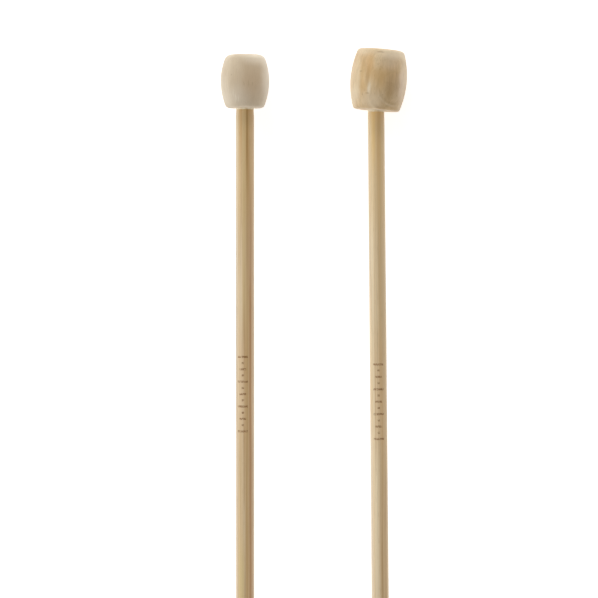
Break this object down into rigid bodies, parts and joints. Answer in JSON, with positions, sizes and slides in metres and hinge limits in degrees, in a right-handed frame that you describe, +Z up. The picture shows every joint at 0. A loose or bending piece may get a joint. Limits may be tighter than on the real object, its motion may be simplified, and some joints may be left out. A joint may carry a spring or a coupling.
{
  "type": "straight knitting needles",
  "caption": "Pair of single-point bamboo knitting needles with pointed tips and barrel-shaped wooden stopper beads, lying side by side.",
  "frame": {"origin": "centre of the pair's footprint on the surface that it lies on", "axes": "+Y along the needles from the points to the beads, +X from the left needle (smaller bead) to the right one, +Z up from the surface"},
  "size_m": [0.0262, 0.3308, 0.0079],
  "materials": {
    "left_bamboo": "bare bamboo, lightly polished, with fibre streaks along its length",
    "right_bamboo": "bare bamboo, yellower, lightly polished, with fibre streaks along its length",
    "left_bead_wood": "bare turned wood, pale greyish cream, matte",
    "right_bead_wood": "bare turned wood, honey yellow, open curved grain",
    "glue": "cured wood glue, pale cream, slightly glossy"
  },
  "bodies": {
    "left_needle": {"left_shaft": "left_bamboo", "left_bead": "left_bead_wood", "left_glue": "glue"},
    "right_needle": {"right_shaft": "right_bamboo", "right_bead": "right_bead_wood", "right_glue": "glue"}
  },
  "joints": [
    {"name": "right_needle_lift", "type": "slide", "parent": "left_needle", "child": "right_needle", "axis": [0, 0, 1], "range_m": [0, 0.06]}
  ]
}
